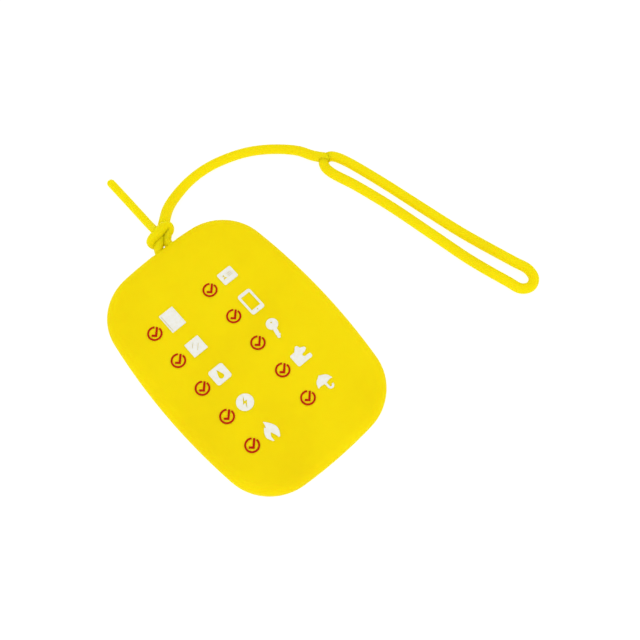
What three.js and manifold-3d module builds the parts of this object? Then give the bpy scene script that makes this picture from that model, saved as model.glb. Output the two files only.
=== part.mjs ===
// A silicone luggage tag: a soft one-piece card sleeve with ten pictograms and ten ticks printed on
// its face, an address card that slides in from the side, a clear film over the rear window, and a
// soft strap that is hitched round a bar in the top rim and ends in a long loop.
//
// Millimetres. The tag lies on its back: +X is the tag's right, +Y runs to the strap end, +Z is up
// out of the printed face, and the origin is under the middle of the sleeve.

import * as THREE from 'three';
import { mergeVertices } from 'three/addons/utils/BufferGeometryUtils.js';
import Module from 'manifold-3d';

const wasm = await Module();
wasm.setup();

// ---- driving dimensions -------------------------------------------------------------------------

const TAG = { width: 74.5, length: 105.5, thickness: 7 };
const OUTLINE = { sideRadius: 250, endRadius: 180, cornerRadius: 21 };
const RIM = { inward: 4, rise: 2.8, steps: 4 };

const CARD = { width: 54, length: 85.6, thickness: 0.8, corner: 3.2 };
const POCKET = { width: 55.2, length: 86.6, floor: 2.4, height: 1.7, corner: 3.5, y: -1.5 };
const SLOT = { floor: 2.85, height: 1.15 };
const WINDOW = { width: 44, length: 75, corner: 4 };
const FILM = { width: 54.4, length: 85.8, thickness: 0.3, corner: 3.2 };
const THUMB_NOTCH_RADIUS = 12;

const STRAP = { cord: 3.9, loop: 4.1, tail: 3.3, sides: 8 };
const STRAP_STEPS = { bight: 20, cord: 18, tail: 6, loopLeg: 28 };
const BAR = { x: 3.4, y: 49.4, radius: 1.2 };
const BAR_GAP = 0.2;
const CHAMBER_HEIGHT = 4.3;
const MOUTH = { inset: 0.8, pivotY: 52.2 };
const END_UNDERSIZE = 0.02; // keeps a round end just inside its tube's facets
const KNOT = { x: 5.6, y: 57.7, z: 4.6, halfWidth: 6.3, halfLength: 3.3, halfHeight: 4.6 };

const PRINT_HEIGHT = 0.2;
const ROW = { first: 26.35, pitch: 14 };
const TICK_X = [-21.18, 5.12];
const PICTOGRAM_OFFSET = 8.3;
const RING = { outer: 2.84, inner: 2.17, gapFrom: 12, gapTo: 55 };
const TICK = { start: [-1.4, 0.15], corner: [-0.2, -1.0], end: [2.2, 1.5], width: 0.78 };
const FINE_LINE = 0.16;
const WRITTEN_LINE = 0.2;

const CUT = 1; // how far a cutting solid runs past the face that it cuts
const midHeight = TAG.thickness / 2;

// ---- materials ----------------------------------------------------------------------------------

const silicone = () => new THREE.MeshStandardMaterial({ color: 0xf6dd01, roughness: 0.6 });
const whiteInk = () => new THREE.MeshStandardMaterial({ color: 0xf5f2ea, roughness: 0.7 });
const redInk = () => new THREE.MeshStandardMaterial({ color: 0xbe1e0a, roughness: 0.7 });
const cardStock = () => new THREE.MeshStandardMaterial({ color: 0xf3f1ea, roughness: 0.8 });
const clearFilm = () => new THREE.MeshStandardMaterial({
  color: 0xeef4f6, roughness: 0.15, transparent: true, opacity: 0.3,
});

// ---- helpers ------------------------------------------------------------------------------------

const vec2 = ([x, y]) => new THREE.Vector2(x, y);
const vec3 = ([x, y, z]) => new THREE.Vector3(x, y, z);
const radians = THREE.MathUtils.degToRad;

// Points along an arc, leaving the last one out so that the next stretch can start there.
function arc(cx, cy, radius, from, to, steps) {
  return Array.from({ length: steps }, (_, i) => {
    const angle = from + ((to - from) * i) / steps;
    return new THREE.Vector2(cx + radius * Math.cos(angle), cy + radius * Math.sin(angle));
  });
}

function circle(cx, cy, radius, steps = 24) {
  return arc(cx, cy, radius, 0, 2 * Math.PI, steps);
}

function roundedRectangle(width, length, corner, cx = 0, cy = 0, steps = 6) {
  const x = width / 2 - corner;
  const y = length / 2 - corner;
  const quarter = Math.PI / 2;
  return [[x, y], [-x, y], [-x, -y], [x, -y]].flatMap(([dx, dy], i) => {
    const arcPoints = arc(cx + dx, cy + dy, corner, i * quarter, (i + 1) * quarter, steps);
    return [...arcPoints, arcEnd(cx + dx, cy + dy, corner, (i + 1) * quarter)];
  });
}

function arcEnd(cx, cy, radius, angle) {
  return new THREE.Vector2(cx + radius * Math.cos(angle), cy + radius * Math.sin(angle));
}

// A flat plate with the given outline, from z = floor up by height.
function plate(outline, floor, height) {
  const shape = new THREE.Shape(outline);
  const geometry = new THREE.ExtrudeGeometry(shape, { depth: height, bevelEnabled: false });
  return geometry.translate(0, 0, floor);
}

// A round tube along a curve through hand-chosen points.
function tube(points, diameter, steps) {
  const section = new THREE.Shape(circle(0, 0, diameter / 2, STRAP.sides));
  const extrudePath = new THREE.CatmullRomCurve3(points.map(vec3), false, 'centripetal');
  return new THREE.ExtrudeGeometry(section, { steps, bevelEnabled: false, extrudePath });
}

function ball([x, y, z], diameter) {
  return new THREE.SphereGeometry(diameter / 2, 12, 8).translate(x, y, z);
}

function toSolid(geometry) {
  const bare = geometry.clone();
  bare.deleteAttribute('normal');
  bare.deleteAttribute('uv');
  const merged = mergeVertices(bare);
  return new wasm.Manifold(new wasm.Mesh({
    numProp: 3,
    vertProperties: Float32Array.from(merged.attributes.position.array),
    triVerts: Uint32Array.from(merged.index.array),
  }));
}

function toGeometry(solid) {
  const mesh = solid.getMesh();
  const geometry = new THREE.BufferGeometry();
  geometry.setAttribute('position', new THREE.BufferAttribute(mesh.vertProperties, 3));
  geometry.setIndex(new THREE.BufferAttribute(mesh.triVerts, 1));
  geometry.computeVertexNormals();
  return geometry;
}

const cut = (body, ...tools) => tools.reduce((left, tool) => left.subtract(toSolid(tool)), body);
const join = (...pieces) => pieces.map(toSolid).reduce((left, right) => left.add(right));

function named(name, geometry, material) {
  const mesh = new THREE.Mesh(geometry, material);
  mesh.name = name;
  return mesh;
}

// ---- sleeve -------------------------------------------------------------------------------------

// The tag's outline: long flat arcs on the sides and ends, blended by four tangent corner arcs.
function tagOutline() {
  const { sideRadius, endRadius, cornerRadius } = OUTLINE;
  const sideX = TAG.width / 2 - sideRadius;
  const endY = TAG.length / 2 - endRadius;
  const toSide = sideRadius - cornerRadius;
  const toEnd = endRadius - cornerRadius;
  const apart = Math.hypot(sideX, endY);
  const along = (toSide ** 2 - toEnd ** 2 + apart ** 2) / (2 * apart);
  const across = Math.sqrt(toSide ** 2 - along ** 2);
  const cornerX = sideX + (-sideX * along - endY * across) / apart;
  const cornerY = (endY * along - sideX * across) / apart;
  const sideAngle = Math.atan2(cornerY, cornerX - sideX);
  const endAngle = Math.atan2(cornerY - endY, cornerX);
  const half = [
    ...arc(sideX, 0, sideRadius, -sideAngle, sideAngle, 6),
    ...arc(cornerX, cornerY, cornerRadius, sideAngle, endAngle, 8),
    ...arc(0, endY, endRadius, endAngle, Math.PI - endAngle, 4),
    ...arc(-cornerX, cornerY, cornerRadius, Math.PI - endAngle, Math.PI - sideAngle, 8),
  ];
  return [...half, ...half.map((point) => point.clone().negate())];
}

// The outer body, with its rim rounded over towards both faces.
function sleeveBody() {
  const geometry = new THREE.ExtrudeGeometry(new THREE.Shape(tagOutline()), {
    depth: TAG.thickness - 2 * RIM.rise,
    bevelThickness: RIM.rise,
    bevelSize: RIM.inward,
    bevelOffset: -RIM.inward,
    bevelSegments: RIM.steps,
  });
  return geometry.translate(0, 0, RIM.rise);
}

function cardPocket() {
  const outline = roundedRectangle(POCKET.width, POCKET.length, POCKET.corner, 0, POCKET.y);
  return plate(outline, POCKET.floor, POCKET.height);
}

// The slot in the right-hand rim, and the thumb notch in the back wall at its mouth.
function cardSlot() {
  const reach = TAG.width / 2;
  const box = new THREE.BoxGeometry(reach, POCKET.length, SLOT.height);
  const startX = POCKET.width / 2 - POCKET.corner;
  return box.translate(startX + reach / 2, POCKET.y, SLOT.floor + SLOT.height / 2);
}

function thumbNotch() {
  const outline = circle(TAG.width / 2, POCKET.y, THUMB_NOTCH_RADIUS, 32);
  return plate(outline, -CUT, SLOT.floor + SLOT.height / 2 + CUT);
}

function rearWindow() {
  const outline = roundedRectangle(WINDOW.width, WINDOW.length, WINDOW.corner, 0, POCKET.y);
  return plate(outline, -CUT, POCKET.floor + POCKET.height / 2 + CUT);
}

// The strap chamber is open at the top rim.
function strapChamber() {
  const reach = BAR.radius + BAR_GAP + STRAP.cord + (CHAMBER_HEIGHT - STRAP.cord) / 2 + BAR_GAP;
  const top = TAG.length / 2 + CUT;
  const outline = [
    ...arc(BAR.x, BAR.y, reach, Math.PI, 2 * Math.PI, 16),
    new THREE.Vector2(BAR.x + reach, BAR.y),
    new THREE.Vector2(BAR.x + reach, top),
    new THREE.Vector2(BAR.x - reach, top),
  ];
  return plate(outline, midHeight - CHAMBER_HEIGHT / 2, CHAMBER_HEIGHT);
}

// The bar stands in the middle of the chamber and is moulded into its floor and roof.
function strapBar() {
  const height = CHAMBER_HEIGHT + 2 * BAR_GAP;
  return plate(circle(BAR.x, BAR.y, BAR.radius, 16), midHeight - height / 2, height);
}

function siliconeSleeve() {
  const body = toSolid(sleeveBody());
  const hollowed = cut(body, cardPocket(), cardSlot(), thumbNotch(), rearWindow(), strapChamber());
  return named('silicone_sleeve', toGeometry(hollowed.add(toSolid(strapBar()))), silicone());
}

// ---- card and film ------------------------------------------------------------------------------

function windowFilm() {
  const outline = roundedRectangle(FILM.width, FILM.length, FILM.corner, 0, POCKET.y);
  return named('window_film', plate(outline, POCKET.floor, FILM.thickness), clearFilm());
}

function addressCard() {
  const outline = roundedRectangle(CARD.width, CARD.length, CARD.corner, 0, POCKET.y);
  const floor = SLOT.floor + (SLOT.height - CARD.thickness) / 2;
  return named('address_card', plate(outline, floor, CARD.thickness), cardStock());
}

// ---- printed marks ------------------------------------------------------------------------------

// A thin film of ink with the given outline, bare where the holes are.
function print(outline, holes = []) {
  const film = toSolid(plate(outline, 0, PRINT_HEIGHT));
  return toGeometry(cut(film, ...holes.map((hole) => plate(hole, -CUT, PRINT_HEIGHT + 2 * CUT))));
}

// A straight bar of the given width between two points, as an outline or a hole.
function bar([x0, y0], [x1, y1], width) {
  const side = new THREE.Vector2(y0 - y1, x1 - x0).setLength(width / 2);
  return [
    new THREE.Vector2(x0 - side.x, y0 - side.y),
    new THREE.Vector2(x1 - side.x, y1 - side.y),
    new THREE.Vector2(x1 + side.x, y1 + side.y),
    new THREE.Vector2(x0 + side.x, y0 + side.y),
  ];
}

// Smooth between the points, but sharp at the two ends of the stretch.
function sweep(points, steps) {
  const curve = new THREE.SplineCurve(points.map(vec2));
  return curve.getPoints(steps);
}

function door() {
  const hinge = bar([-2.5, -3.8], [-2.5, 3.5], FINE_LINE);
  return print(roundedRectangle(6.3, 8.5, 0.15), [hinge]);
}

function windowPane() {
  const upper = bar([-1.5, 0.3], [0.1, 1.9], FINE_LINE);
  const lower = bar([-0.5, -1.5], [1.5, 0.5], FINE_LINE);
  return print(roundedRectangle(6.2, 6.25, 0.15), [upper, lower]);
}

function waterDrop() {
  const drop = [
    new THREE.Vector2(0, 2.1),
    ...sweep([[0.55, 0.8], [1.02, -0.5]], 2),
    ...arc(0, -0.85, 1.05, radians(10), radians(-190), 14),
    ...sweep([[-1.02, -0.5], [-0.55, 0.8]], 2),
  ];
  return print(roundedRectangle(6.5, 6.6, 0.95), [drop]).translate(-0.2, -0.1, 0);
}

function powerBolt() {
  const bolt = [[0.9, 2.3], [-1.15, -0.3], [-0.1, -0.3], [-0.9, -2.3], [1.15, 0.4], [0.1, 0.4]];
  return print(circle(0, 0, 3.25, 36), [bolt.map(vec2)]).translate(-0.1, -0.25, 0);
}

function gasFlame() {
  return print([
    ...sweep([[0.1, 3.9], [1.65, 1.9], [2.6, -0.3], [2.35, -2.4], [1.25, -4.1]], 12),
    ...sweep([[0.75, -4], [0.45, -2.6], [-0.25, -0.8]], 6),
    ...sweep([[-0.45, -0.9], [-1.25, -2.2], [-1.2, -3.9]], 6),
    ...sweep([[-1.7, -3.8], [-2.75, -1.5], [-2.3, 0.4], [-0.95, 2.1]], 10),
    ...sweep([[-0.7, 1.4], [-0.3, 2.4], [0, 3.85]], 5),
  ]);
}

// A card with a head and shoulders at its left and three lines of writing at its right.
function identityCard() {
  const figureX = -1.35;
  const head = circle(figureX, 0.75, 0.38, 12);
  const shoulders = [
    ...arc(figureX, -0.6, 0.72, 0, Math.PI, 10),
    arcEnd(figureX, -0.6, 0.72, Math.PI),
  ];
  const lines = [0.8, 0.15, -0.5].map((y) => bar([0.1, y], [2.1, y], WRITTEN_LINE));
  return print(roundedRectangle(6.4, 5.35, 0.55), [head, shoulders, ...lines]).translate(0.4, 0.2, 0);
}

function mobilePhone() {
  const screen = roundedRectangle(4.1, 6.45, 0.12, 0, 0.25);
  const button = circle(0, -3.8, 0.3, 14);
  return print(roundedRectangle(5.85, 9.6, 0.95), [screen, button]).translate(0.25, 0.15, 0);
}

function houseKey() {
  const headRadius = 2.3;
  const lean = radians(10.5);
  const blade = [[0.7, -2.1], [0.7, -4.1], [0.4, -4.35], [0.8, -4.6], [0.8, -5.15], [0.35, -5.45],
    [0.35, -5.9], [-0.15, -6.25], [-0.8, -5.8], [-0.8, -2.1]];
  const outline = [
    ...arc(0, 0, headRadius, radians(-70), radians(250), 24),
    ...blade.map(vec2).reverse(),
  ];
  const geometry = print(outline, [circle(0, 0.65, 0.36, 12)]);
  return geometry.rotateZ(-lean).translate(0.35, 2.15, 0);
}

// A wallet with a clasp notch in its right side and the rounded ends of two notes standing out.
function moneyWallet() {
  return print([
    ...arc(-2.25, -2.35, 0.85, radians(180), radians(270), 6),
    ...arc(3, -2.6, 0.6, radians(-90), radians(0), 5),
    ...arc(3.1, -2, 0.5, radians(0), radians(90), 5),
    new THREE.Vector2(1.1, -1.4),
    ...arc(1.15, -0.7, 0.33, radians(250), radians(110), 6),
    ...[[1.1, -0.05], [2.3, 0.05]].map(vec2),
    ...arc(2.9, 1.1, 0.7, radians(-60), radians(80), 8),
    new THREE.Vector2(2, 2.3),
    ...arc(1.05, 3, 0.7, radians(0), radians(150), 8),
    new THREE.Vector2(-0.75, 2.2),
    ...arc(-2.5, 1.6, 0.6, radians(90), radians(180), 5),
  ]);
}

function umbrella() {
  const canopy = sweep([[3.3, -0.15], [2.4, 2.05], [0.4, 3.3], [0, 3.6], [-0.4, 3.3],
    [-2.4, 2.05], [-3.3, -0.15]], 24);
  const hookCentre = [0.88, -2];
  return print([
    ...canopy,
    ...[[-1.9, 0.05], [-0.42, -0.3]].map(vec2),
    ...arc(...hookCentre, 1.3, radians(180), radians(360), 12),
    new THREE.Vector2(hookCentre[0] + 1.3, hookCentre[1] + 0.1),
    new THREE.Vector2(hookCentre[0] + 0.6, hookCentre[1] + 0.1),
    ...arc(...hookCentre, 0.5, radians(0), radians(-180), 8),
    ...[[0.38, -0.3], [1.9, 0.05]].map(vec2),
  ]).translate(0.1, 0.1, 0);
}

const PICTOGRAMS = [
  [['door', door], ['window', windowPane], ['water', waterDrop], ['power', powerBolt],
    ['gas', gasFlame]],
  [['id_card', identityCard], ['phone', mobilePhone], ['key', houseKey], ['wallet', moneyWallet],
    ['umbrella', umbrella]],
];

// The ring is open where the tick's long stroke runs out through it.
function tickRing() {
  const from = radians(RING.gapTo);
  const to = radians(RING.gapFrom + 360);
  return print([
    ...arc(0, 0, RING.outer, from, to, 30),
    arcEnd(0, 0, RING.outer, to),
    ...arc(0, 0, RING.inner, to, from, 30),
    arcEnd(0, 0, RING.inner, from),
  ]);
}

function tickMark() {
  const [start, corner, end] = [TICK.start, TICK.corner, TICK.end].map(vec2);
  const half = TICK.width / 2;
  const down = corner.clone().sub(start).normalize();
  const up = end.clone().sub(corner).normalize();
  const downSide = new THREE.Vector2(-down.y, down.x).multiplyScalar(half);
  const upSide = new THREE.Vector2(-up.y, up.x).multiplyScalar(half);
  const middle = downSide.clone().add(upSide);
  const mitre = middle.multiplyScalar((2 * half * half) / middle.lengthSq());
  return print([
    start.clone().sub(downSide), corner.clone().sub(mitre), end.clone().sub(upSide),
    end.clone().add(upSide), corner.clone().add(mitre), start.clone().add(downSide),
  ]);
}

// Everything printed on the face, in two columns of five rows.
function printedMarks() {
  const marks = new THREE.Group();
  TICK_X.forEach((x, column) => {
    PICTOGRAMS[column].forEach(([name, makePictogram], row) => {
      const y = ROW.first - row * ROW.pitch;
      const ring = named(`ring_${name}`, tickRing(), redInk());
      const tick = named(`tick_${name}`, tickMark(), redInk());
      const pictogram = named(`print_${name}`, makePictogram(), whiteInk());
      ring.position.set(x, y, 0);
      tick.position.set(x, y, 0);
      pictogram.position.set(x + PICTOGRAM_OFFSET, y, 0);
      marks.add(ring, tick, pictogram);
    });
  });
  marks.position.z = TAG.thickness;
  return marks;
}

// ---- strap --------------------------------------------------------------------------------------

// The bight goes round the bar inside the rim; its ends are round where the strap flexes.
function strapBight() {
  const bend = BAR.radius + BAR_GAP + STRAP.cord / 2;
  const turns = arc(BAR.x, BAR.y, bend, radians(180), radians(360), 8);
  const leftEnd = [BAR.x - bend + MOUTH.inset, MOUTH.pivotY, midHeight];
  const rightEnd = [BAR.x + bend - MOUTH.inset, MOUTH.pivotY, midHeight];
  const endSize = STRAP.cord - END_UNDERSIZE;
  const path = [
    leftEnd,
    ...turns.map(({ x, y }) => [x, y, midHeight]),
    [BAR.x + bend, BAR.y, midHeight],
    rightEnd,
  ];
  const bight = tube(path, STRAP.cord, STRAP_STEPS.bight);
  const solid = join(bight, ball(leftEnd, endSize), ball(rightEnd, endSize));
  return named('strap_bight', toGeometry(solid), silicone());
}

function strapKnot() {
  const geometry = new THREE.SphereGeometry(1, 20, 12);
  geometry.scale(KNOT.halfWidth, KNOT.halfLength, KNOT.halfHeight);
  return named('strap_knot', geometry.translate(KNOT.x, KNOT.y, KNOT.z), silicone());
}

const onTable = STRAP.cord / 2;
const loopOnTable = STRAP.loop / 2;
const tailOnTable = STRAP.tail / 2;

// The cord's route from the knot to the loop, down on to the table and round in one wide arc.
const CORD_ROUTE = [
  [10.2, 61.4, 4.2],
  [14.7, 65.3, 3.1],
  [19.3, 67.7, 2.3],
  [28.8, 70.1, onTable],
  [38.1, 70.2, onTable],
  [47.4, 68.2, onTable],
  [56.3, 64.5, onTable],
  [64.2, 59.0, onTable],
  [71.0, 52.0, onTable],
  [74.2, 46.0, onTable],
];

// The tail lies straight out beyond the knot and has a round end.
const TAIL_ROUTE = [
  [5.3, 61.7, 4.4],
  [5.5, 66.0, 2.5],
  [5.6, 71.0, 1.8],
  [5.6, 81.0, tailOnTable],
  [5.5, 90.2, tailOnTable],
];

// The loop's two legs, each from the cord's end round to the middle of the far turn.
const OUTER_LEG = [
  [76.0, 41.6, loopOnTable],
  [78.6, 41.6, loopOnTable],
  [80.6, 39.6, loopOnTable],
  [82.5, 35.2, loopOnTable],
  [86.7, 19.3, loopOnTable],
  [90.9, 0.2, loopOnTable],
  [95.1, -18.4, loopOnTable],
  [101.4, -40.0, loopOnTable],
  [103.3, -46.4, loopOnTable],
  [102.2, -50.4, loopOnTable],
  [98.9, -51.9, loopOnTable],
];
const INNER_LEG = [
  [78.6, 41.6, loopOnTable],
  [76.0, 41.6, loopOnTable],
  [74.4, 39.0, loopOnTable],
  [74.6, 35.3, loopOnTable],
  [77.9, 25.0, loopOnTable],
  [82.1, 8.5, loopOnTable],
  [85.8, -10.3, loopOnTable],
  [89.4, -28.8, loopOnTable],
  [93.7, -44.3, loopOnTable],
  [95.6, -50.1, loopOnTable],
  [98.9, -51.9, loopOnTable],
  [102.2, -50.4, loopOnTable],
];

function strapCord() {
  return named('strap_cord', tube(CORD_ROUTE, STRAP.cord, STRAP_STEPS.cord), silicone());
}

function strapTail() {
  const tip = TAIL_ROUTE[TAIL_ROUTE.length - 1];
  const tail = tube(TAIL_ROUTE, STRAP.tail, STRAP_STEPS.tail);
  const solid = join(tail, ball(tip, STRAP.tail - END_UNDERSIZE));
  return named('strap_tail', toGeometry(solid), silicone());
}

function strapLoop() {
  const steps = STRAP_STEPS.loopLeg;
  const solid = join(tube(OUTER_LEG, STRAP.loop, steps), tube(INNER_LEG, STRAP.loop, steps));
  return named('strap_loop', toGeometry(solid), silicone());
}

// ---- assembly -----------------------------------------------------------------------------------

const luggageTag = new THREE.Group();
luggageTag.add(
  siliconeSleeve(),
  windowFilm(),
  addressCard(),
  printedMarks(),
  strapBight(),
  strapKnot(),
  strapCord(),
  strapTail(),
  strapLoop(),
);

export default luggageTag;
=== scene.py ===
"""A silicone luggage tag on a pale table: card sleeve, printed marks and a hitched strap with a loop."""

import math

import bmesh
import bpy
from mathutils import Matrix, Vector


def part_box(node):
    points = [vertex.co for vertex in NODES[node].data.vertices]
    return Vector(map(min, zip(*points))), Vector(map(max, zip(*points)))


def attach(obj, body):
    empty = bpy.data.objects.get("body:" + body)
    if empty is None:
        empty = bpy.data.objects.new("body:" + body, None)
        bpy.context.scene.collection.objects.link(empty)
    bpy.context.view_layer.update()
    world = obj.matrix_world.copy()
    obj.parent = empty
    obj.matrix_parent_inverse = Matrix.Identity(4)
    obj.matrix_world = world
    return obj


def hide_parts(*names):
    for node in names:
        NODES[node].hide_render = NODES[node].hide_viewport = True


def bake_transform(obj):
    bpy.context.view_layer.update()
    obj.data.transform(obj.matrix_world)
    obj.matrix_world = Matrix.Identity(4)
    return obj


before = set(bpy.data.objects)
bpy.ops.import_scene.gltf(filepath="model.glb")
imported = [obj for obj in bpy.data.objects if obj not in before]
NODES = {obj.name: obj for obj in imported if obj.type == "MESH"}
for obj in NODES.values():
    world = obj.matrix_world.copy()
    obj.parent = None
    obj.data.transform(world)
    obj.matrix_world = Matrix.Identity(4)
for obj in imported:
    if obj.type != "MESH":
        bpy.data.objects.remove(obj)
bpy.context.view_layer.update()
MM = 0.001

# ---- driving dimensions, in metres ---------------------------------------------------------------

CAMERA = {"lens": 52.5, "elevation": 69.8, "heading": 41.48, "distance": 0.3474}
LOOK_AT = Vector((0.0282, -0.0101, 0.0070))

TAG = {"width": 0.0745, "length": 0.1055, "thickness": 0.0070}
OUTLINE = {"side_radius": 0.250, "end_radius": 0.180, "corner_radius": 0.021}
RIM = {"inward": 0.0040, "rise": 0.0028}
POCKET = {"width": 0.0552, "length": 0.0866, "floor": 0.0024, "height": 0.0017, "corner": 0.0035}
POCKET_Y = -0.0015
SLOT = {"floor": 0.00285, "height": 0.00115}
WINDOW = {"width": 0.044, "length": 0.075, "corner": 0.004}
THUMB_NOTCH_RADIUS = 0.012
# How far a cutting solid reaches past the face that it opens.
CUT = 0.001
# Every edge sharper than from_angle is rounded; what is still sharper than sharp_angle shades sharp.
EDGE = {"radius": 0.00035, "segments": 3, "from_angle": 38, "sharp_angle": 40}

CORD = 0.0039
LOOP = 0.0041
TAIL = 0.0033
BAR = {"x": 0.0034, "y": 0.0494, "radius": 0.0012}
BAR_GAP = 0.0002
CHAMBER_HEIGHT = 0.0043
MID_HEIGHT = TAG["thickness"] / 2

CARD = {"corner": 0.0032, "worn_edge": 0.00008}
CARD_LINE = {"x": (-0.015, -0.0085, -0.002, 0.0045, 0.011), "width": 0.0003, "half_length": 0.031}
CARD_LABEL = {"x": 0.0172, "width": 0.0022, "length": 0.02015}
CARD_INK_DEPTH = 0.00003

# How finely round shapes are divided.
STEPS = {"side": 40, "corner": 34, "end": 24, "rim": 12, "notch": 72, "bar": 24, "chamber": 24,
         "small_corner": 10, "bight": 6, "curve": 24, "tube": 28, "cap": 8}

# The strap's centre lines, in millimetres. They are those of the part's source, apart from the knot
# and the few points where the cord rises into the loop.
CORD_ROUTE = [
    (10.2, 61.4, 4.2), (14.7, 65.3, 3.1), (19.3, 67.7, 2.3), (28.8, 70.1, 1.95), (38.1, 70.2, 1.95),
    (47.4, 68.2, 1.95), (56.3, 64.5, 1.95), (64.2, 59.0, 1.95), (71.0, 52.0, 2.0), (74.2, 46.0, 2.15),
]
TAIL_ROUTE = [
    (5.3, 61.7, 4.4), (5.5, 66.0, 2.5), (5.6, 71.0, 1.8), (5.6, 81.0, 1.65), (5.5, 90.2, 1.65),
]
OUTER_LEG = [
    (77.3, 41.8, 2.05), (79.1, 41.3, 2.05), (80.6, 39.6, 2.05), (82.5, 35.2, 2.05), (86.7, 19.3, 2.05),
    (90.9, 0.2, 2.05), (95.1, -18.4, 2.05), (101.4, -40.0, 2.05), (103.3, -46.4, 2.05),
    (102.2, -50.4, 2.05), (98.9, -51.9, 2.05),
]
INNER_LEG = [
    (95.6, -50.1, 2.05), (93.7, -44.3, 2.05), (89.4, -28.8, 2.05), (85.8, -10.3, 2.05),
    (82.1, 8.5, 2.05), (77.9, 25.0, 2.05), (74.6, 35.3, 2.05), (74.4, 39.0, 2.05), (75.6, 41.3, 2.05),
]
INTO_LOOP = (77.2, 41.9, 2.35)
# Inside the knot the standing cord climbs over the tail's first turn and dips under its second.
STANDING_IN_KNOT = [
    (0.8, 52.6, 3.5), (2.1, 54.6, 4.2), (4.4, 56.9, 4.6), (6.6, 58.9, 3.8), (8.4, 60.2, 3.6),
]
# The tail's end of the strap goes round the standing cord once and is tucked under its own turn.
HITCH_IN_KNOT = [
    (5.9, 52.6, 3.5), (6.1, 54.8, 3.6), (7.7, 56.5, 4.2), (9.8, 57.5, 4.8), (9.9, 58.6, 6.0),
    (7.9, 58.7, 6.9), (5.3, 58.0, 7.1), (2.9, 57.9, 6.5), (1.1, 57.6, 4.9), (1.8, 56.7, 3.0),
    (3.9, 56.4, 2.1), (5.7, 56.9, 3.1), (6.3, 57.7, 4.5), (5.9, 58.9, 5.0), (5.4, 60.3, 5.1),
]


def metres(points):
    """Listed points in millimetres, as vectors in metres."""
    return [Vector(point) * MM for point in points]


# ---- camera --------------------------------------------------------------------------------------

def add_camera():
    """The camera stands over the tag's lower left corner and looks steeply down."""
    elevation = math.radians(CAMERA["elevation"])
    heading = math.radians(CAMERA["heading"])
    level = math.cos(elevation)
    away = Vector((-math.sin(heading) * level, -math.cos(heading) * level, math.sin(elevation)))
    data = bpy.data.cameras.new("camera")
    data.lens = CAMERA["lens"]
    camera = bpy.data.objects.new("camera", data)
    camera.location = LOOK_AT + away * CAMERA["distance"]
    camera.rotation_mode = "QUATERNION"
    camera.rotation_quaternion = (-away).to_track_quat("-Z", "Y")
    bpy.context.scene.collection.objects.link(camera)
    bpy.context.scene.camera = camera


# ---- mesh helpers --------------------------------------------------------------------------------

def add_mesh(name, vertices, faces, smooth=True):
    mesh = bpy.data.meshes.new(name)
    mesh.from_pydata([tuple(v) for v in vertices], [], faces)
    mesh.update()
    piece = bpy.data.objects.new(name, mesh)
    bpy.context.scene.collection.objects.link(piece)
    for polygon in mesh.polygons:
        polygon.use_smooth = smooth
    return piece


def catmull_rom(points, spacing):
    """A smooth line through the points, resampled to even steps of about the spacing."""
    ends = [2 * points[0] - points[1], *points, 2 * points[-1] - points[-2]]
    fine = []
    for a, b, c, d in zip(ends, ends[1:], ends[2:], ends[3:]):
        ta = 0.0
        tb = ta + (b - a).length ** 0.5
        tc = tb + (c - b).length ** 0.5
        td = tc + (d - c).length ** 0.5
        for i in range(STEPS["curve"]):
            t = tb + (tc - tb) * i / STEPS["curve"]
            ab = a * ((tb - t) / (tb - ta)) + b * ((t - ta) / (tb - ta))
            bc = b * ((tc - t) / (tc - tb)) + c * ((t - tb) / (tc - tb))
            cd = c * ((td - t) / (td - tc)) + d * ((t - tc) / (td - tc))
            abc = ab * ((tc - t) / (tc - ta)) + bc * ((t - ta) / (tc - ta))
            bcd = bc * ((td - t) / (td - tb)) + cd * ((t - tb) / (td - tb))
            fine.append(abc * ((tc - t) / (tc - tb)) + bcd * ((t - tb) / (tc - tb)))
    fine.append(points[-1].copy())
    return resample(fine, spacing)


def resample(line, spacing):
    """The same line with its points at even distances."""
    lengths = [0.0]
    for a, b in zip(line, line[1:]):
        lengths.append(lengths[-1] + (b - a).length)
    count = max(2, round(lengths[-1] / spacing))
    even = []
    segment = 0
    for i in range(count + 1):
        target = lengths[-1] * i / count
        while segment < len(line) - 2 and lengths[segment + 1] < target:
            segment += 1
        share = (target - lengths[segment]) / max(lengths[segment + 1] - lengths[segment], 1e-12)
        even.append(line[segment].lerp(line[segment + 1], share))
    return even


def section_frames(line, closed=False):
    """A tangent and two cross directions at each point, turned as little as possible."""
    count = len(line)
    frames = []
    previous = None
    for i in range(count):
        after = line[(i + 1) % count] if closed or i < count - 1 else line[i]
        before = line[(i - 1) % count] if closed or i > 0 else line[i]
        tangent = (after - before).normalized()
        if previous is None:
            side = tangent.cross(Vector((0, 0, 1)))
            side = side.normalized() if side.length > 1e-6 else Vector((1, 0, 0))
        else:
            side = (previous - tangent * previous.dot(tangent)).normalized()
        previous = side
        frames.append((tangent, side, tangent.cross(side)))
    return frames


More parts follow.
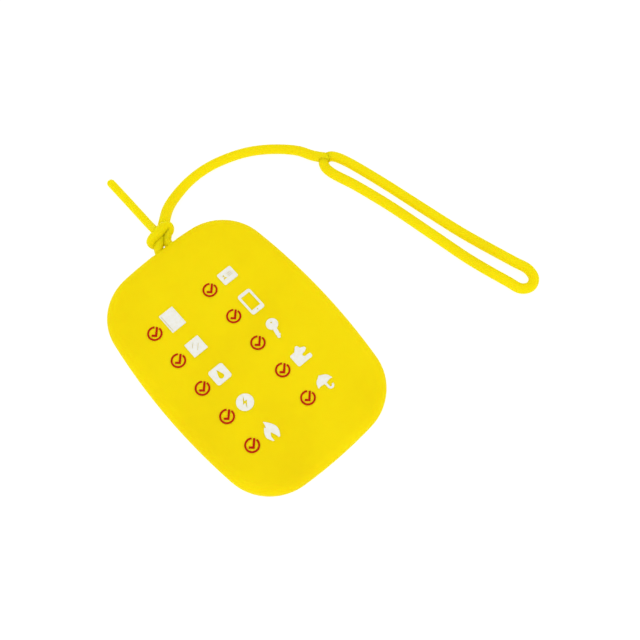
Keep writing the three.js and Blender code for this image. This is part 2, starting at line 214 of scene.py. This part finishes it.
def tube(name, line, radius_at, closed=False):
    """A round tube along the line, with round ends or closed into a ring.

    radius_at(share of the length) gives its radius.
    """
    frames = section_frames(line, closed)
    sides = STEPS["tube"]
    rings = []
    for i, (point, (_, side, up)) in enumerate(zip(line, frames)):
        share = i / (len(line) - 1)
        rings.append((point, side, up, radius_at(share)))
    if not closed:
        rings = cap_rings(line[0], frames[0], radius_at(0), -1)[::-1] + rings
        rings += cap_rings(line[-1], frames[-1], radius_at(1), 1)
    vertices = []
    for point, side, up, radius in rings:
        for k in range(sides):
            angle = 2 * math.pi * k / sides
            vertices.append(point + (side * math.cos(angle) + up * math.sin(angle)) * radius)
    faces = []
    total = len(rings)
    for i in range(total if closed else total - 1):
        for k in range(sides):
            low, high = i * sides, ((i + 1) % total) * sides
            faces.append((low + k, low + (k + 1) % sides, high + (k + 1) % sides, high + k))
    if not closed:
        faces.append(tuple(reversed(range(sides))))
        faces.append(tuple(range((total - 1) * sides, total * sides)))
    piece = add_mesh(name, vertices, faces)
    make_normals_consistent(piece)
    return piece


def cap_rings(point, section, radius, direction):
    """The shrinking rings that round off one end of a tube."""
    tangent, side, up = section
    rings = []
    for step in range(1, STEPS["cap"]):
        angle = math.pi / 2 * step / STEPS["cap"]
        centre = point + tangent * (direction * radius * math.sin(angle))
        rings.append((centre, side, up, radius * math.cos(angle)))
    return rings


def make_normals_consistent(piece):
    mesh = bmesh.new()
    mesh.from_mesh(piece.data)
    bmesh.ops.recalc_face_normals(mesh, faces=mesh.faces)
    mesh.to_mesh(piece.data)
    mesh.free()


def apply_modifiers(piece):
    graph = bpy.context.evaluated_depsgraph_get()
    made = bpy.data.meshes.new_from_object(piece.evaluated_get(graph))
    piece.modifiers.clear()
    piece.data = made


def smoothstep(low, high, value):
    """Rises smoothly from 0 at low to 1 at high."""
    share = min(1.0, max(0.0, (value - low) / (high - low)))
    return share * share * (3 - 2 * share)


# ---- materials -----------------------------------------------------------------------------------

# Each is a list of linear colours, from the darkest patches of the surface to the brightest.
SLEEVE_YELLOWS = [(0.87, 0.68, 0.001), (0.91, 0.72, 0.001), (0.93, 0.74, 0.002)]
STRAP_YELLOWS = [(0.82, 0.675, 0.001), (0.85, 0.705, 0.001), (0.87, 0.735, 0.002)]
CARD_WHITES = [(0.80, 0.77, 0.70), (0.90, 0.88, 0.83)]
CARD_GREYS = [(0.10, 0.13, 0.18), (0.17, 0.21, 0.27)]
FILM_TINTS = [(0.92, 0.95, 0.95), (0.97, 0.98, 0.98)]
# A printing ink where it is thin, where it is full, and in its pinholes, where the sleeve shows.
WHITE_INK = [(0.81, 0.78, 0.67), (0.86, 0.86, 0.81), (0.85, 0.74, 0.29)]
RED_INK = [(0.44, 0.010, 0.001), (0.50, 0.010, 0.001), (0.54, 0.04, 0.001)]
# How far light spreads inside the silicone, in metres, and how far each colour of it goes.
SLEEVE_GLOW = 0.0012
STRAP_GLOW = 0.0040
GLOW_COLOURS = (1.0, 0.85, 0.08)
# A noise value stays mostly within this range.
NOISE_RANGE = (0.3, 0.7)


class Nodes:
    """A short way to write a material's nodes and links."""

    def __init__(self, name):
        self.material = bpy.data.materials.new(name)
        self.material.use_nodes = True
        self.tree = self.material.node_tree
        self.shader = self.tree.nodes["Principled BSDF"]
        self.place = self.tree.nodes.new("ShaderNodeTexCoord").outputs["Object"]

    def link(self, output, target):
        self.tree.links.new(output, target)

    def noise(self, scale, detail=3.0, roughness=0.55):
        node = self.tree.nodes.new("ShaderNodeTexNoise")
        node.inputs["Scale"].default_value = scale
        node.inputs["Detail"].default_value = detail
        node.inputs["Roughness"].default_value = roughness
        self.link(self.place, node.inputs["Vector"])
        return node.outputs["Fac"]

    def ramp(self, value, stops):
        """Turns a value into a colour, from (position, colour) stops."""
        node = self.tree.nodes.new("ShaderNodeValToRGB")
        elements = node.color_ramp.elements
        while len(elements) < len(stops):
            elements.new(0.5)
        for element, (position, colour) in zip(elements, stops):
            element.position = position
            element.color = (*colour, 1.0)
        self.link(value, node.inputs["Fac"])
        return node.outputs["Color"]

    def span(self, value, low, high):
        """Maps a noise value to the range from low to high."""
        node = self.tree.nodes.new("ShaderNodeMapRange")
        node.inputs["From Min"].default_value = NOISE_RANGE[0]
        node.inputs["From Max"].default_value = NOISE_RANGE[1]
        node.inputs["To Min"].default_value = low
        node.inputs["To Max"].default_value = high
        self.link(value, node.inputs["Value"])
        return node.outputs["Result"]

    def mix(self, first, second, share):
        node = self.tree.nodes.new("ShaderNodeMix")
        node.data_type = "RGBA"
        self.link(first, node.inputs["A"])
        self.link(second, node.inputs["B"])
        node.inputs["Factor"].default_value = share
        return node.outputs["Result"]

    def bump(self, height, strength, distance):
        node = self.tree.nodes.new("ShaderNodeBump")
        node.inputs["Strength"].default_value = strength
        node.inputs["Distance"].default_value = distance
        self.link(height, node.inputs["Height"])
        return node.outputs["Normal"]

    def set(self, **values):
        """Sets the shader's own sockets, with _ for each space in a socket's name."""
        for socket, value in values.items():
            self.shader.inputs[socket.replace("_", " ")].default_value = value


def silicone_material(name, yellows, roughness, glow):
    """Soft-touch moulded silicone: uneven colour, a very fine matte grain, light spreading inside."""
    nodes = Nodes(name)
    deep, plain, bright = yellows
    colour = nodes.ramp(nodes.noise(38, 4.0), [(0.30, deep), (0.52, plain), (0.75, bright)])
    nodes.link(colour, nodes.shader.inputs["Base Color"])
    gloss = nodes.span(nodes.noise(160, 3.0), roughness - 0.05, roughness + 0.07)
    nodes.link(gloss, nodes.shader.inputs["Roughness"])
    nodes.link(nodes.bump(nodes.noise(4200, 2.0), 0.22, 0.00006), nodes.shader.inputs["Normal"])
    nodes.set(Specular_IOR_Level=0.05, Subsurface_Weight=0.75, Subsurface_Scale=glow,
              Subsurface_Radius=GLOW_COLOURS)
    return nodes.material


def ink_material(name, colours):
    """Screen-printed silicone ink: thin in places, with the yellow just showing through."""
    nodes = Nodes(name)
    thin, full, show_through = colours
    body = nodes.ramp(nodes.noise(900, 3.0), [(0.35, thin), (0.6, full)])
    pinholes = nodes.ramp(nodes.noise(5200, 2.0), [(0.24, show_through), (0.33, full)])
    nodes.link(nodes.mix(body, pinholes, 0.35), nodes.shader.inputs["Base Color"])
    nodes.link(nodes.span(nodes.noise(1500), 0.48, 0.66), nodes.shader.inputs["Roughness"])
    nodes.link(nodes.bump(nodes.noise(3600), 0.3, 0.00005), nodes.shader.inputs["Normal"])
    nodes.set(Specular_IOR_Level=0.06)
    return nodes.material


def card_material():
    """Uncoated card with short paper fibres."""
    nodes = Nodes("card_stock")
    fibres = nodes.noise(2600, 6.0, 0.7)
    colour = nodes.ramp(fibres, [(0.3, CARD_WHITES[0]), (0.6, CARD_WHITES[1])])
    nodes.link(colour, nodes.shader.inputs["Base Color"])
    nodes.link(nodes.span(fibres, 0.72, 0.86), nodes.shader.inputs["Roughness"])
    nodes.link(nodes.bump(fibres, 0.35, 0.00006), nodes.shader.inputs["Normal"])
    return nodes.material


def card_ink_material():
    """Grey-blue printing ink on the card, a little uneven."""
    nodes = Nodes("card_ink")
    colour = nodes.ramp(nodes.noise(2200, 4.0), list(zip(NOISE_RANGE, CARD_GREYS)))
    nodes.link(colour, nodes.shader.inputs["Base Color"])
    nodes.link(nodes.span(nodes.noise(2600), 0.55, 0.75), nodes.shader.inputs["Roughness"])
    return nodes.material


def film_material():
    """Clear flexible film with faint ripples and handling marks."""
    nodes = Nodes("clear_film")
    marks = nodes.noise(420, 5.0, 0.7)
    colour = nodes.ramp(marks, list(zip(NOISE_RANGE, FILM_TINTS)))
    nodes.link(colour, nodes.shader.inputs["Base Color"])
    nodes.link(nodes.span(marks, 0.06, 0.2), nodes.shader.inputs["Roughness"])
    nodes.link(nodes.bump(nodes.noise(90, 2.0), 0.25, 0.0004), nodes.shader.inputs["Normal"])
    nodes.set(Alpha=0.22, IOR=1.48, Specular_IOR_Level=0.6)
    return nodes.material


def give(piece, material):
    piece.data.materials.clear()
    piece.data.materials.append(material)


# ---- strap ---------------------------------------------------------------------------------------

BIGHT_RADIUS = BAR["radius"] + BAR_GAP + CORD / 2
TUBE_SPACING = 0.0004
# How much the cord's radius changes where it is pulled thin, fills out and meets the loop.
PULLED_THIN = 0.0002
PAST_KNOT = 0.00025
FLARE = 0.00018
# The shares of a cord's length between which its radius changes.
CORD_LEAVES_MOUTH = (0.08, 0.12)
CORD_FILLS_OUT = (0.12, 0.18)
CORD_SLIMS = (0.22, 0.5)
CORD_MEETS_LOOP = (0.80, 1.0)
TAIL_LEAVES_MOUTH = (0.12, 0.18)
TAIL_SLIMS = (0.46, 0.58)


def bight_quarter(side):
    """The bight's quarter from its bottom round to one side of the bar, ending below the mouth."""
    centre = Vector((BAR["x"], BAR["y"], MID_HEIGHT))
    turn = []
    for i in range(STEPS["bight"] + 1):
        angle = math.pi / 2 * i / STEPS["bight"]
        turn.append(centre + Vector((side * math.sin(angle), -math.cos(angle), 0)) * BIGHT_RADIUS)
    return turn


def strap_cord(material):
    """From the bight out of the left mouth, through the knot and round to the loop."""
    outside = metres([*STANDING_IN_KNOT, *CORD_ROUTE, INTO_LOOP])
    line = catmull_rom(bight_quarter(-1) + outside, TUBE_SPACING)

    def radius_at(share):
        """Pulled thin at the mouth, fuller just past the knot, and flared where it joins the loop."""
        thinned = PULLED_THIN * (1 - smoothstep(*CORD_LEAVES_MOUTH, share))
        fuller = PAST_KNOT * smoothstep(*CORD_FILLS_OUT, share) * (1 - smoothstep(*CORD_SLIMS, share))
        flare = FLARE * smoothstep(*CORD_MEETS_LOOP, share)
        return CORD / 2 - thinned + fuller + flare

    piece = tube("strap_cord_soft", line, radius_at)
    give(piece, material)
    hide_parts("strap_cord", "strap_bight", "strap_knot")
    return piece


def strap_tail(material):
    """From the bight out of the right mouth, round the hitch and out to the round tip."""
    outside = metres([*HITCH_IN_KNOT, *TAIL_ROUTE])
    line = catmull_rom(bight_quarter(1) + outside, TUBE_SPACING)

    def radius_at(share):
        """Pulled thin at the mouth, full in the hitch, and thinner along the free tail."""
        thinned = PULLED_THIN * (1 - smoothstep(*TAIL_LEAVES_MOUTH, share))
        tapered = (CORD - TAIL) / 2 * smoothstep(*TAIL_SLIMS, share)
        return CORD / 2 - thinned - tapered

    piece = tube("strap_tail_soft", line, radius_at)
    give(piece, material)
    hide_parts("strap_tail")
    return piece


def strap_loop(material):
    """The long loop at the strap's end, one closed ring."""
    points = metres(OUTER_LEG) + metres(INNER_LEG)
    line = catmull_rom([*points, points[0]], TUBE_SPACING)
    piece = tube("strap_loop_soft", line[:-1], lambda share: LOOP / 2, closed=True)
    give(piece, material)
    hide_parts("strap_loop")
    return piece


def blend_at_mouth(piece):
    """The direction of the bend leans to the right by lean, so that the cord's far end, which comes
    back down beside the sleeve, still counts as past the mouth.
    Bakes the piece's placement into its mesh.
    """
    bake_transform(piece)


def add_strap():
    silicone = silicone_material("strap_silicone", STRAP_YELLOWS, 0.5, STRAP_GLOW)
    blend_at_mouth(strap_cord(silicone))
    blend_at_mouth(strap_tail(silicone))
    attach(strap_loop(silicone), "strap")


# ---- sleeve --------------------------------------------------------------------------------------

def arc(cx, cy, radius, start, end, steps):
    """Points and outward directions along an arc, leaving the last one out."""
    made = []
    for i in range(steps):
        angle = start + (end - start) * i / steps
        outward = Vector((math.cos(angle), math.sin(angle)))
        made.append((Vector((cx, cy)) + outward * radius, outward))
    return made


def tag_outline():
    """The tag's outline and its outward directions: long flat arcs blended by corner arcs."""
    side_radius, end_radius, corner_radius = OUTLINE.values()
    side_x = TAG["width"] / 2 - side_radius
    end_y = TAG["length"] / 2 - end_radius
    to_side = side_radius - corner_radius
    to_end = end_radius - corner_radius
    apart = math.hypot(side_x, end_y)
    along = (to_side ** 2 - to_end ** 2 + apart ** 2) / (2 * apart)
    across = math.sqrt(to_side ** 2 - along ** 2)
    corner_x = side_x + (-side_x * along - end_y * across) / apart
    corner_y = (end_y * along - side_x * across) / apart
    side_angle = math.atan2(corner_y, corner_x - side_x)
    end_angle = math.atan2(corner_y - end_y, corner_x)
    half = [
        *arc(side_x, 0, side_radius, -side_angle, side_angle, STEPS["side"]),
        *arc(corner_x, corner_y, corner_radius, side_angle, end_angle, STEPS["corner"]),
        *arc(0, end_y, end_radius, end_angle, math.pi - end_angle, STEPS["end"]),
        *arc(-corner_x, corner_y, corner_radius, math.pi - end_angle, math.pi - side_angle,
             STEPS["corner"]),
    ]
    return half + [(-point, -outward) for point, outward in half]


def rim_profile():
    """(inset, height) from the front face's edge over the rim to the back face's edge."""
    quarter = []
    for i in range(STEPS["rim"] + 1):
        angle = math.pi / 2 * i / STEPS["rim"]
        inset = RIM["inward"] * (1 - math.sin(angle))
        drop = RIM["rise"] * (1 - math.cos(angle))
        quarter.append((inset, TAG["thickness"] - drop))
    return quarter + [(inset, TAG["thickness"] - height) for inset, height in reversed(quarter)]


def sleeve_body():
    """The outer body, with its rim rounded over towards both faces."""
    outline = tag_outline()
    count = len(outline)
    profile = rim_profile()
    vertices = []
    for inset, height in profile:
        for point, outward in outline:
            place = point - outward * inset
            vertices.append((place.x, place.y, height))
    last_ring = (len(profile) - 1) * count
    faces = [tuple(range(count)), tuple(reversed(range(last_ring, last_ring + count)))]
    for ring in range(len(profile) - 1):
        for i in range(count):
            j = (i + 1) % count
            upper, lower = ring * count, (ring + 1) * count
            faces.append((upper + i, lower + i, lower + j, upper + j))
    piece = add_mesh("silicone_sleeve_soft", vertices, faces)
    make_normals_consistent(piece)
    return piece


def prism(name, outline, floor, height):
    """An upright solid over a flat outline."""
    count = len(outline)
    vertices = [(x, y, floor) for x, y in outline] + [(x, y, floor + height) for x, y in outline]
    faces = [tuple(reversed(range(count))), tuple(range(count, 2 * count))]
    faces += [(i, (i + 1) % count, count + (i + 1) % count, count + i) for i in range(count)]
    piece = add_mesh(name, vertices, faces, smooth=False)
    make_normals_consistent(piece)
    return piece


def rounded_rectangle(width, length, corner, cx, cy):
    x, y = width / 2 - corner, length / 2 - corner
    steps = STEPS["small_corner"]
    made = []
    for i, (dx, dy) in enumerate([(x, y), (-x, y), (-x, -y), (x, -y)]):
        for k in range(steps + 1):
            angle = math.pi / 2 * (i + k / steps)
            made.append((cx + dx + corner * math.cos(angle), cy + dy + corner * math.sin(angle)))
    return made


def circle(cx, cy, radius, steps):
    turn = [2 * math.pi * i / steps for i in range(steps)]
    return [(cx + radius * math.cos(angle), cy + radius * math.sin(angle)) for angle in turn]


def card_pocket():
    outline = rounded_rectangle(POCKET["width"], POCKET["length"], POCKET["corner"], 0, POCKET_Y)
    return prism("pocket", outline, POCKET["floor"], POCKET["height"])


def card_slot():
    start = POCKET["width"] / 2 - POCKET["corner"]
    end = TAG["width"]
    low, high = POCKET_Y - POCKET["length"] / 2, POCKET_Y + POCKET["length"] / 2
    outline = [(start, low), (end, low), (end, high), (start, high)]
    return prism("slot", outline, SLOT["floor"], SLOT["height"])


def thumb_notch():
    outline = circle(TAG["width"] / 2, POCKET_Y, THUMB_NOTCH_RADIUS, STEPS["notch"])
    return prism("notch", outline, -CUT, SLOT["floor"] + SLOT["height"] / 2 + CUT)


def rear_window():
    outline = rounded_rectangle(WINDOW["width"], WINDOW["length"], WINDOW["corner"], 0, POCKET_Y)
    return prism("window", outline, -CUT, POCKET["floor"] + POCKET["height"] / 2 + CUT)


def strap_chamber():
    """Open at the top rim; the strap's bight fills it round the bar."""
    reach = BIGHT_RADIUS + CHAMBER_HEIGHT / 2 + BAR_GAP
    top = TAG["length"] / 2 + CUT
    turn = [math.pi * (1 + i / STEPS["chamber"]) for i in range(STEPS["chamber"] + 1)]
    outline = [(BAR["x"] + reach * math.cos(a), BAR["y"] + reach * math.sin(a)) for a in turn]
    outline += [(BAR["x"] + reach, top), (BAR["x"] - reach, top)]
    return prism("chamber", outline, MID_HEIGHT - CHAMBER_HEIGHT / 2, CHAMBER_HEIGHT)


def strap_bar():
    """It overlaps the chamber's floor and roof a little, so that it is one solid with the sleeve."""
    height = CHAMBER_HEIGHT + 2 * BAR_GAP
    outline = circle(BAR["x"], BAR["y"], BAR["radius"], STEPS["bar"])
    return prism("bar", outline, MID_HEIGHT - height / 2, height)


def boolean(piece, tool, operation):
    """Cuts the tool out of the piece or joins it on, and removes the tool."""
    modifier = piece.modifiers.new(operation, "BOOLEAN")
    modifier.operation = operation
    modifier.solver = "EXACT"
    modifier.object = tool
    apply_modifiers(piece)
    bpy.data.objects.remove(tool)


def round_edges(piece):
    bevel = piece.modifiers.new("round_edges", "BEVEL")
    bevel.width = EDGE["radius"]
    bevel.segments = EDGE["segments"]
    bevel.limit_method = "ANGLE"
    bevel.angle_limit = math.radians(EDGE["from_angle"])
    apply_modifiers(piece)
    piece.data.set_sharp_from_angle(angle=math.radians(EDGE["sharp_angle"]))


def add_sleeve():
    piece = sleeve_body()
    for tool in (card_pocket(), card_slot(), thumb_notch(), rear_window(), strap_chamber()):
        boolean(piece, tool, "DIFFERENCE")
    boolean(piece, strap_bar(), "UNION")
    round_edges(piece)
    give(piece, silicone_material("sleeve_silicone", SLEEVE_YELLOWS, 0.58, SLEEVE_GLOW))
    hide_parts("silicone_sleeve")
    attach(piece, "tag")


# ---- printed marks -------------------------------------------------------------------------------

def paint_marks():
    """The CAD marks keep their shapes and get their inks."""
    white = ink_material("white_ink", WHITE_INK)
    red = ink_material("red_ink", RED_INK)
    for name, node in NODES.items():
        if name.startswith("print_"):
            give(node, white)
        elif name.startswith(("ring_", "tick_")):
            give(node, red)


# ---- card and film -------------------------------------------------------------------------------

def add_card():
    low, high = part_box("address_card")
    card = card_sheet(low, high)
    give(card, card_material())
    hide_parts("address_card")
    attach(card, "card")
    lines = card_lines(low, high)
    give(lines, card_ink_material())
    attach(lines, "card")


def card_sheet(low, high):
    """The card itself, with round corners and slightly worn edges."""
    centre = (low + high) / 2
    outline = rounded_rectangle(high.x - low.x, high.y - low.y, CARD["corner"], centre.x, centre.y)
    card = prism("address_card_stock", outline, low.z, high.z - low.z)
    bevel = card.modifiers.new("worn_edges", "BEVEL")
    bevel.width = CARD["worn_edge"]
    bevel.segments = 2
    bevel.limit_method = "ANGLE"
    apply_modifiers(card)
    return card


def card_lines(low, high):
    """Blank writing lines and a short thick bar, printed on the side that faces the window."""
    middle = (low.y + high.y) / 2
    start = middle - CARD_LINE["half_length"]
    bars = [(x, CARD_LINE["width"], 2 * CARD_LINE["half_length"]) for x in CARD_LINE["x"]]
    bars.append((CARD_LABEL["x"], CARD_LABEL["width"], CARD_LABEL["length"]))
    vertices = []
    faces = []
    for x, width, length in bars:
        base = len(vertices)
        end = start + length
        for z in (low.z - CARD_INK_DEPTH, low.z + CARD_INK_DEPTH):
            vertices += [(x, start, z), (x + width, start, z), (x + width, end, z), (x, end, z)]
        faces += [tuple(base + k for k in face) for face in
                  ((3, 2, 1, 0), (4, 5, 6, 7), (0, 1, 5, 4), (1, 2, 6, 5), (2, 3, 7, 6), (3, 0, 4, 7))]
    return add_mesh("address_card_lines", vertices, faces, smooth=False)


# ---- floor and lights ----------------------------------------------------------------------------

WHITE = (1.0, 1.0, 1.0, 1.0)
FLOOR = {"half_size": 3.0, "grey": 0.30, "glow": 0.8}
# The surround is white up to the band and fades to the overhead grey within it. The band is in
# heights on a ball of radius 1.
SKY = 0.695
HORIZON_BAND = (0.28, 0.40)
SOFTBOX = {"place": (-0.16, -0.20, 0.90), "size": 0.9, "power": 3.15}


def add_floor():
    """A white table that shines a little by itself, so that shadows on it stay faint."""
    size = FLOOR["half_size"]
    floor = add_mesh("floor", [(-size, -size, 0), (size, -size, 0), (size, size, 0), (-size, size, 0)],
                     [(0, 1, 2, 3)], smooth=False)
    nodes = Nodes("floor")
    nodes.set(Base_Color=(FLOOR["grey"], FLOOR["grey"], FLOOR["grey"], 1), Roughness=0.9,
              Specular_IOR_Level=0.0, Emission_Color=WHITE, Emission_Strength=FLOOR["glow"])
    give(floor, nodes.material)


def add_softbox():
    """One large round lamp that points at the middle of the tag."""
    data = bpy.data.lights.new("softbox", "AREA")
    data.shape = "DISK"
    data.size = SOFTBOX["size"]
    data.energy = SOFTBOX["power"]
    light = bpy.data.objects.new("softbox", data)
    light.location = SOFTBOX["place"]
    light.rotation_mode = "QUATERNION"
    light.rotation_quaternion = (-Vector(SOFTBOX["place"])).to_track_quat("-Z", "Y")
    bpy.context.scene.collection.objects.link(light)


def add_surround():
    """A soft surround, white at the horizon so that the table runs out into it."""
    world = bpy.data.worlds.new("studio")
    world.use_nodes = True
    tree = world.node_tree
    direction = tree.nodes.new("ShaderNodeTexCoord").outputs["Generated"]
    height = tree.nodes.new("ShaderNodeSeparateXYZ")
    tree.links.new(direction, height.inputs["Vector"])
    ramp = tree.nodes.new("ShaderNodeValToRGB")
    horizon, overhead = ramp.color_ramp.elements
    horizon.position, overhead.position = HORIZON_BAND
    horizon.color = WHITE
    overhead.color = (SKY, SKY, SKY, 1.0)
    tree.links.new(height.outputs["Z"], ramp.inputs["Fac"])
    tree.links.new(ramp.outputs["Color"], tree.nodes["Background"].inputs["Color"])
    bpy.context.scene.world = world
    bpy.context.scene.view_settings.view_transform = "Standard"


add_camera()
add_strap()
add_sleeve()
paint_marks()
add_card()
give(NODES["window_film"], film_material())
add_floor()
add_surround()
add_softbox()
